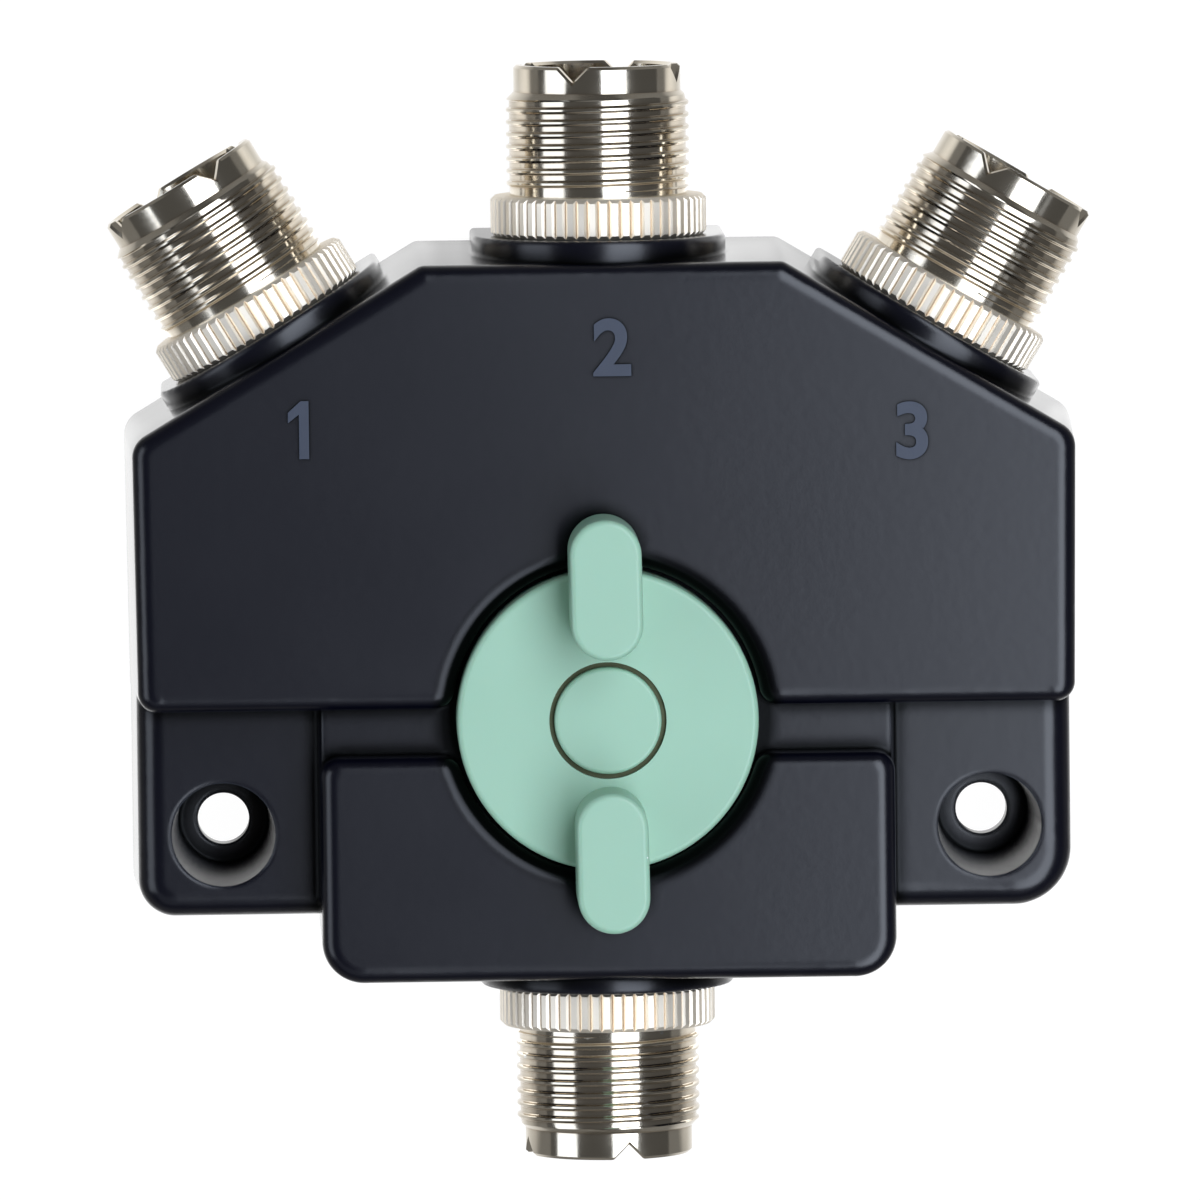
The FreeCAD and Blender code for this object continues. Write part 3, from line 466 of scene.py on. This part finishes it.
def raised_number(text, x, y):
    """One figure scaled to its height and set into the upper plate, so that it stands up by its rise. The
    curve is given any thickness at first, only to tell its top from its bottom."""
    curve = figure_curve(text)
    curve.extrude = 0.001
    drawn = bpy.data.objects.new("number", curve)
    bpy.context.scene.collection.objects.link(drawn)
    bpy.context.view_layer.update()
    mesh = bpy.data.meshes.new_from_object(drawn)
    bpy.data.objects.remove(drawn)
    low = Vector([min(v.co[i] for v in mesh.vertices) for i in range(3)])
    high = Vector([max(v.co[i] for v in mesh.vertices) for i in range(3)])
    scale = NUMBER_HEIGHT / (high.y - low.y)
    for vertex in mesh.vertices:
        flat_place = (vertex.co - (low + high) / 2) * scale
        top = plate_height + NUMBER_RISE if vertex.co.z > 0 else plate_height - NUMBER_RISE
        vertex.co = Vector((flat_place.x + x, flat_place.y + y, top))
    made = bpy.data.objects.new("number_" + text, mesh)
    bpy.context.scene.collection.objects.link(made)
    mesh.materials.append(number_paint)
    bevel = made.modifiers.new("soft_edge", "BEVEL")
    bevel.width, bevel.segments, bevel.limit_method = NUMBER_BEVEL, 2, "ANGLE"
    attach(made, "case")


for text, (x, y) in NUMBER_PLACES.items():
    raised_number(text, x * MM, y * MM)

# ---- Rear cover ----
# A flat steel sheet let into the back of the casting, in a duller coat of the same enamel. Six countersunk
# screws hold it. They are zinc-plated steel, like the screws and washers of the knob and the rotor.
COVER_COLOUR = (0.0045, 0.005, 0.009, 1)
COVER_ROUGHNESS = (0.40, 0.50)
ZINC_COLOUR = (0.50, 0.50, 0.50, 1)
ZINC_DARK_COLOUR = (0.36, 0.37, 0.39, 1)
ZINC_ROUGHNESS = (0.45, 0.3)
ZINC_GRAIN_SCALE = 2500
ZINC_GRAIN_DEPTH = 0.004 * MM
METAL_PATCH_SCALE = 160


def grained(name, dark, light, roughness, scales, depth, rough_by="Patches", **values):
    """A finish whose colour runs from dark to light in broad patches, under a fine grain of this depth. Its
    roughness follows the patches or the grain. scales are those of the grain and the patches, and a depth of
    0 leaves the surface smooth."""
    made, tree, shader = new_material(name, **values)
    grain = use_group(tree, grain_group, Grain_Scale=scales[0], Patch_Scale=scales[1])
    tone = mix_colours(tree, grain.outputs["Patches"], dark, light)
    wire(tree, tone, shader.inputs["Base Color"])
    wire(tree, spread(tree, grain.outputs[rough_by], *roughness), shader.inputs["Roughness"])
    if depth:
        wire(tree, bumped(tree, grain.outputs["Grain"], depth), shader.inputs["Normal"])
    return made, tree, shader, tone


def metal(name, dark, light, roughness, grain_scale, depth):
    """A bare or plated metal, whose polish varies with its colour."""
    return grained(name, dark, light, roughness, (grain_scale, METAL_PATCH_SCALE), depth, Metallic=1)[0]


dress(enamel("cover_enamel", COVER_COLOUR, COVER_ROUGHNESS), "rear_cover")
zinc = metal("zinc_plated_steel", ZINC_DARK_COLOUR, ZINC_COLOUR, ZINC_ROUGHNESS, ZINC_GRAIN_SCALE,
             ZINC_GRAIN_DEPTH)
dress(zinc, "cover_screws", "knob_screw", "knob_washer", "thrust_washer", "rotor_washer", "rotor_screw")

# ---- Coaxial sockets ----
# Turned brass barrels, bright nickel plated, with a right-handed 5/8-24 thread outside and four V notches in
# the rim. Each passes through the wall from inside, where its flange bears, and a knurled nut holds it.
# The thread is a low ridge: half its flat crest, its two roundings (along the barrel, inwards) and a flank.
THREAD_RADIUS = 7.9375 * MM
THREAD_DEPTH = 0.27 * MM
THREAD_PITCH = 1.0583 * MM
THREAD_TURNS = 8
CREST_HALF = 0.08 * MM
RIDGE_ROUNDING = (0.07 * MM, 0.044 * MM)
FLANK_WIDTH = 0.095 * MM
RUN_OUT_SLOPE = 1.5
# All depths along the barrel are measured from the rim of its mouth inwards.
BAND_RADIUS = 7.25 * MM
MOUTH_RADIUS = 6.25 * MM
MOUTH_DEPTH = 5.0 * MM
RIM_CHAMFER = 0.25 * MM
THREAD_FROM = 2.3 * MM
NUT_FROM = 11.3 * MM
NUT_TO = 14.8 * MM
UNDER_NUT_RADIUS = 7.58 * MM
NECK_RADIUS = 7.7 * MM
FLANGE_RADIUS = 9.2 * MM
FLANGE_THICKNESS = 2.0 * MM
SEAT_RADIUS = 6.03 * MM
SEAT_DEPTH = 8.0 * MM
TAIL_BORE_RADIUS = 5.18 * MM
NOTCH_DEPTH = 1.35 * MM
NOTCH_HALF = 1.35 * MM
# How far each barrel's notches are turned, in degrees.
NOTCH_TURN = {"port_1": 26.5, "port_2": -19, "port_3": -22, "common": -13}
# Steps round the barrel, and the least angle between two of them in radians.
ROUND_STEPS = 144
LEAST_STEP = 0.006
JOIN_DISTANCE = 0.0005 * MM
SOCKET_SHARP_ANGLE = 25

root_radius = THREAD_RADIUS - THREAD_DEPTH
thread_to = THREAD_FROM + THREAD_PITCH * THREAD_TURNS
mounts = {mount["name"]: mount for mount in frame["record"]["mounts"]}


def port_matrix(port):
    """The mouth's own frame: Z out of the mouth, X sideways, Y to the rear, and the rim at 0."""
    mount = mounts[port + "_thread"]
    out = Vector(mount["axis"])
    mouth = Vector(mount["pos_m"]) + out * (THREAD_FROM + thread_to) / 2
    side = Vector((out.y, -out.x, 0))
    turned = Matrix((side, Vector((0, 0, -1)), out)).transposed().to_4x4()
    return Matrix.Translation(mouth) @ turned


def flange_from(port):
    """How deep the solid socket's flange begins, where it bears on the inside of the wall."""
    to_mouth = port_matrix(port).inverted()
    places = [to_mouth @ vertex.co for vertex in nodes[port + "_socket"].data.vertices]
    middle = (THREAD_RADIUS + FLANGE_RADIUS) / 2
    return -max(place.z for place in places if math.hypot(place.x, place.y) > middle)


def notch_angles(turn):
    """The middles of the four notches, in the mouth's own frame."""
    return [math.radians(turn + 90 * quarter) for quarter in range(4)]


def round_angles(turn):
    """Even steps round the barrel, and the corners of the notches."""
    found = [math.tau * i / ROUND_STEPS for i in range(ROUND_STEPS)]
    for middle in notch_angles(turn):
        corners = [0.0]
        for edge in (math.asin(NOTCH_HALF / BAND_RADIUS), math.asin(NOTCH_HALF / MOUTH_RADIUS)):
            corners += [edge, -edge]
        for corner in corners:
            angle = (middle + corner) % math.tau
            found = [other for other in found if abs(other - angle) > LEAST_STEP] + [angle]
    return sorted(found)


def notch_drop(radius, angle, turn):
    """How far the rim is cut down at this place."""
    drop = 0.0
    for middle in notch_angles(turn):
        if math.cos(angle - middle) > 0:
            drop = max(drop, NOTCH_DEPTH * (1 - abs(radius * math.sin(angle - middle)) / NOTCH_HALF))
    return drop


def thread_profile():
    """(drop below the crest's middle, radius) over one pitch: a low ridge with rounded edges."""
    width, height = RIDGE_ROUNDING
    shoulder = CREST_HALF + width
    foot = shoulder + FLANK_WIDTH
    half = [(CREST_HALF, 0), (shoulder, height), (foot, THREAD_DEPTH - height), (foot + width, THREAD_DEPTH)]
    return ([(-drop, THREAD_RADIUS - depth) for drop, depth in reversed(half)]
            + [(drop, THREAD_RADIUS - depth) for drop, depth in half])


def thread_rings(angles):
    """The helical ridge: a ring of (radius, z) for each point of the profile in each pitch, with a lead-in at
    one end of the thread and a run-out at the other."""
    rings = []
    for pitch in range(-1, THREAD_TURNS + 1):
        for drop, radius in thread_profile():
            ring = []
            for angle in angles:
                z = -THREAD_FROM - THREAD_PITCH * (pitch + 1 - angle / math.tau) - drop
                z = min(-THREAD_FROM, max(-thread_to, z))
                lead_in = BAND_RADIUS - THREAD_FROM - z
                run_out = root_radius + (z + thread_to) * RUN_OUT_SLOPE
                ring.append((min(radius, lead_in, run_out), z))
            rings.append(ring)
    return rings


def socket_mesh(port, turn):
    """The whole shell as rings of points: mouth, rim, band, helical thread, neck, flange and inner bores."""
    angles = round_angles(turn)
    count = len(angles)
    wall = -flange_from(port)
    rings = [[(MOUTH_RADIUS, -MOUTH_DEPTH)] * count]
    for radius, z in ((MOUTH_RADIUS, -RIM_CHAMFER), (MOUTH_RADIUS + RIM_CHAMFER, 0),
                      (BAND_RADIUS - RIM_CHAMFER, 0), (BAND_RADIUS, -RIM_CHAMFER)):
        rings.append([(radius, z - notch_drop(radius, angle, turn)) for angle in angles])
    rings.append([(BAND_RADIUS, -THREAD_FROM)] * count)
    thread_start = len(rings)
    rings += thread_rings(angles)
    thread_stop = len(rings)
    for radius, z in ((root_radius, -thread_to), (root_radius, -NUT_FROM), (UNDER_NUT_RADIUS, -NUT_FROM),
                      (UNDER_NUT_RADIUS, -NUT_TO), (NECK_RADIUS, -NUT_TO), (NECK_RADIUS, wall),
                      (FLANGE_RADIUS, wall), (FLANGE_RADIUS, wall - FLANGE_THICKNESS),
                      (TAIL_BORE_RADIUS, wall - FLANGE_THICKNESS), (TAIL_BORE_RADIUS, -SEAT_DEPTH),
                      (SEAT_RADIUS, -SEAT_DEPTH), (SEAT_RADIUS, -MOUTH_DEPTH)):
        rings.append([(radius, z)] * count)
    points = [(radius * math.cos(angle), radius * math.sin(angle), z)
              for ring in rings for (radius, z), angle in zip(ring, angles)]

    def number(ring, column):
        """The point's number. Past the last column, a thread's ring goes on as the one a pitch further on."""
        if column == count:
            column = 0
            if thread_start <= ring < thread_stop:
                ring = max(thread_start, ring - len(thread_profile()))
        return ring * count + column

    faces = []
    for ring in range(len(rings)):
        after = (ring + 1) % len(rings)
        for column in range(count):
            faces.append((number(ring, column), number(after, column),
                          number(after, column + 1), number(ring, column + 1)))
    mesh = bpy.data.meshes.new(port + "_socket_shell")
    mesh.from_pydata(points, [], faces)
    return mesh


def clean(mesh, sharp_degrees):
    """Joins points that coincide, drops empty faces, and shades smooth between edges sharper than this."""
    work = bmesh.new()
    work.from_mesh(mesh)
    bmesh.ops.remove_doubles(work, verts=work.verts, dist=JOIN_DISTANCE)
    bmesh.ops.dissolve_degenerate(work, edges=work.edges, dist=JOIN_DISTANCE)
    bmesh.ops.recalc_face_normals(work, faces=work.faces)
    work.to_mesh(mesh)
    work.free()
    mesh.shade_smooth()
    mesh.set_sharp_from_angle(angle=math.radians(sharp_degrees))


# The plating is bright, with a yellowish tint in patches and brown tarnish in its crevices. The nuts are
# duller, as their knurling has rubbed, and tarnished in the grooves.
NICKEL_COLOUR = (0.80, 0.745, 0.64, 1)
NICKEL_DARK_COLOUR = (0.72, 0.64, 0.51, 1)
NICKEL_DUST_COLOUR = (0.8, 0.8, 0.76, 1)
NICKEL_ROUGHNESS = (0.16, 0.09)
NICKEL_SCALES = (2200, 320)
NICKEL_GRAIN_DEPTH = 0.002 * MM
NICKEL_DUST_SCALE = 420
NICKEL_DUST_SIZE = 0.16
TARNISH_COLOUR = (0.30, 0.17, 0.07, 1)
TARNISH_REACH = 0.4 * MM
TARNISH_OPEN = 0.95
TARNISH_CLOSED = 0.5
NUT_COLOUR = (0.98, 0.90, 0.77, 1)
NUT_ROUGHNESS = (0.56, 0.48)
NUT_GRAIN_DEPTH = 0.003 * MM
GROOVE_COLOUR = (0.52, 0.36, 0.20, 1)
GROOVE_REACH = 0.3 * MM
GROOVE_OPEN = 0.75
GROOVE_CLOSED = 0.35

nickel, tree, shader, plated = grained("bright_nickel", NICKEL_DARK_COLOUR, NICKEL_COLOUR, NICKEL_ROUGHNESS,
                                       NICKEL_SCALES, NICKEL_GRAIN_DEPTH, Metallic=1)
crevice = use_group(tree, own_crevices, Reach=TARNISH_REACH, Open=TARNISH_OPEN, Closed=TARNISH_CLOSED)
dust = use_group(tree, dust_group, Scale=NICKEL_DUST_SCALE, Size=NICKEL_DUST_SIZE)
worn = mix_colours(tree, crevice.outputs[0], plated, TARNISH_COLOUR)
wire(tree, mix_colours(tree, dust.outputs[0], worn, NICKEL_DUST_COLOUR), shader.inputs["Base Color"])

knurled_nickel, tree, shader = new_material("knurled_nickel", Metallic=1)
grain = use_group(tree, grain_group, Grain_Scale=NICKEL_SCALES[0], Patch_Scale=NICKEL_SCALES[1])
groove = use_group(tree, own_crevices, Reach=GROOVE_REACH, Open=GROOVE_OPEN, Closed=GROOVE_CLOSED)
wire(tree, mix_colours(tree, groove.outputs[0], NUT_COLOUR, GROOVE_COLOUR), shader.inputs["Base Color"])
wire(tree, spread(tree, grain.outputs["Patches"], *NUT_ROUGHNESS), shader.inputs["Roughness"])
wire(tree, bumped(tree, grain.outputs["Grain"], NUT_GRAIN_DEPTH), shader.inputs["Normal"])

for port, turn in NOTCH_TURN.items():
    shell = socket_mesh(port, turn)
    clean(shell, SOCKET_SHARP_ANGLE)
    shell.transform(port_matrix(port))
    socket = bpy.data.objects.new(port + "_threaded_socket", shell)
    bpy.context.scene.collection.objects.link(socket)
    shell.materials.append(nickel)
    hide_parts(port + "_socket")
    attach(socket, "case")
    dress(nickel, port + "_socket")
    dress(knurled_nickel, port + "_ring_nut")

# ---- Inside the sockets ----
# A waxy white plastic insulator, and a split contact of silver-plated brass that springs onto the plug's pin.
# The contact's tail is soldered to a strip of the same metal inside the case.
INSULATOR_COLOUR = (0.86, 0.85, 0.80, 1)
INSULATOR_DARK_COLOUR = (0.74, 0.72, 0.66, 1)
SILVER_COLOUR = (0.82, 0.80, 0.76, 1)
SILVER_DARK_COLOUR = (0.58, 0.53, 0.46, 1)

white_plastic = grained("white_insulator", INSULATOR_DARK_COLOUR, INSULATOR_COLOUR, roughness=(0.35, 0.5),
                        scales=(1500, 250), depth=0.005 * MM, rough_by="Grain", IOR=1.45,
                        Subsurface_Weight=0.2, Subsurface_Scale=1 * MM)[0]
silver = metal("silver_plate", SILVER_DARK_COLOUR, SILVER_COLOUR, roughness=(0.35, 0.2), grain_scale=1800,
               depth=0.003 * MM)
for port in NOTCH_TURN:
    dress(white_plastic, port + "_insulator")
    dress(silver, port + "_centre_contact", port + "_contact_strip")

# ---- Bearing, shaft and rotor ----
# A steel shaft turns in a brass bushing pressed into the casting. Below it, a plastic hub carries the riveted
# silver-plated contact. A hardened index plate, ball and spring give the clicks, and a pin stops the turn.
BRASS_COLOUR = (0.72, 0.52, 0.24, 1)
BRASS_DARK_COLOUR = (0.60, 0.41, 0.18, 1)
STEEL_COLOUR = (0.58, 0.58, 0.60, 1)
STEEL_DARK_COLOUR = (0.46, 0.46, 0.47, 1)
HUB_COLOUR = (0.78, 0.76, 0.70, 1)
HUB_DARK_COLOUR = (0.62, 0.60, 0.52, 1)

brass = metal("turned_brass", BRASS_DARK_COLOUR, BRASS_COLOUR, roughness=(0.35, 0.25), grain_scale=2000,
              depth=0.003 * MM)
steel = metal("ground_steel", STEEL_DARK_COLOUR, STEEL_COLOUR, roughness=(0.3, 0.2), grain_scale=2400,
              depth=0.002 * MM)
hub_plastic = grained("cream_hub_plastic", HUB_DARK_COLOUR, HUB_COLOUR, roughness=(0.4, 0.55),
                      scales=(1800, 200), depth=0, rough_by="Grain", IOR=1.48)[0]
dress(brass, "bushing", "contact_rivets")
dress(steel, "shaft", "shaft_clip", "index_plate", "detent_ball", "detent_spring", "stop_pin")
dress(hub_plastic, "rotor_hub")
dress(silver, "moving_contact")

# ---- Knob ----
# One moulding of mint green plastic, a disc with two long lobes for finger and thumb, and a snap-in cap over
# the fixing screw. The gloss has worn to a soft satin, with a fine grain from handling.
KNOB_COLOUR = (0.315, 0.515, 0.375, 1)
KNOB_DARK_COLOUR = (0.285, 0.490, 0.350, 1)
KNOB_DUST_COLOUR = (0.8, 0.85, 0.8, 1)
KNOB_ROUGHNESS = (0.36, 0.46)
KNOB_SCALES = (1400, 120)
KNOB_GRAIN_DEPTH = 0.006 * MM
KNOB_DUST_SCALE = 300
KNOB_DUST_SIZE = 0.05
KNOB_GLOW_DEPTH = 0.6 * MM

green, tree, shader, tone = grained("mint_green_plastic", KNOB_DARK_COLOUR, KNOB_COLOUR, KNOB_ROUGHNESS,
                                    KNOB_SCALES, KNOB_GRAIN_DEPTH, IOR=1.56, Subsurface_Weight=0.08,
                                    Subsurface_Scale=KNOB_GLOW_DEPTH)
dust = use_group(tree, dust_group, Scale=KNOB_DUST_SCALE, Size=KNOB_DUST_SIZE)
wire(tree, mix_colours(tree, dust.outputs[0], tone, KNOB_DUST_COLOUR), shader.inputs["Base Color"])
dress(green, "knob", "knob_cap")

# ---- Dirt round the cap ----
# A thin dark olive ring set in the ring-shaped gap between the cap and the knob, a little below their tops.
# It turns with the knob, and its top is a little uneven.
GAP_FILL_INNER = 4.64 * MM
GAP_FILL_OUTER = 5.03 * MM
GAP_FILL_TOP = 25.6 * MM
GAP_FILL_DEPTH = 0.25 * MM
# The waves of its top: how many go round, where they start in radians, and their height.
GAP_FILL_WAVES = ((3, 0.6, 0.05 * MM), (7, 2.0, 0.03 * MM))
GAP_FILL_STEPS = 96
GAP_FILL_SHARP_ANGLE = 40
GAP_FILL_COLOUR = (0.095, 0.105, 0.050, 1)
GAP_FILL_DARK_COLOUR = (0.055, 0.060, 0.028, 1)

gap_fill_finish = grained("dried_grease", GAP_FILL_DARK_COLOUR, GAP_FILL_COLOUR, roughness=(0.6, 0.8), scales=(2500, 500),
               depth=0.02 * MM, rough_by="Grain", IOR=1.4)[0]

points, faces = [], []
for step in range(GAP_FILL_STEPS):
    angle = math.tau * step / GAP_FILL_STEPS
    top = GAP_FILL_TOP + sum(size * math.sin(count * angle + start) for count, start, size in GAP_FILL_WAVES)
    for radius, z in ((GAP_FILL_INNER, top), (GAP_FILL_OUTER, top), (GAP_FILL_OUTER, GAP_FILL_TOP - GAP_FILL_DEPTH),
                      (GAP_FILL_INNER, GAP_FILL_TOP - GAP_FILL_DEPTH)):
        points.append((radius * math.cos(angle), radius * math.sin(angle), z))
    here, after = 4 * step, 4 * ((step + 1) % GAP_FILL_STEPS)
    faces += [(here + i, here + (i + 1) % 4, after + (i + 1) % 4, after + i) for i in range(4)]
mesh = bpy.data.meshes.new("cap_gap_fill")
mesh.from_pydata(points, [], faces)
clean(mesh, GAP_FILL_SHARP_ANGLE)
mesh.materials.append(gap_fill_finish)
cap_gap_fill = bpy.data.objects.new("cap_gap_fill", mesh)
bpy.context.scene.collection.objects.link(cap_gap_fill)
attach(cap_gap_fill, "rotor")
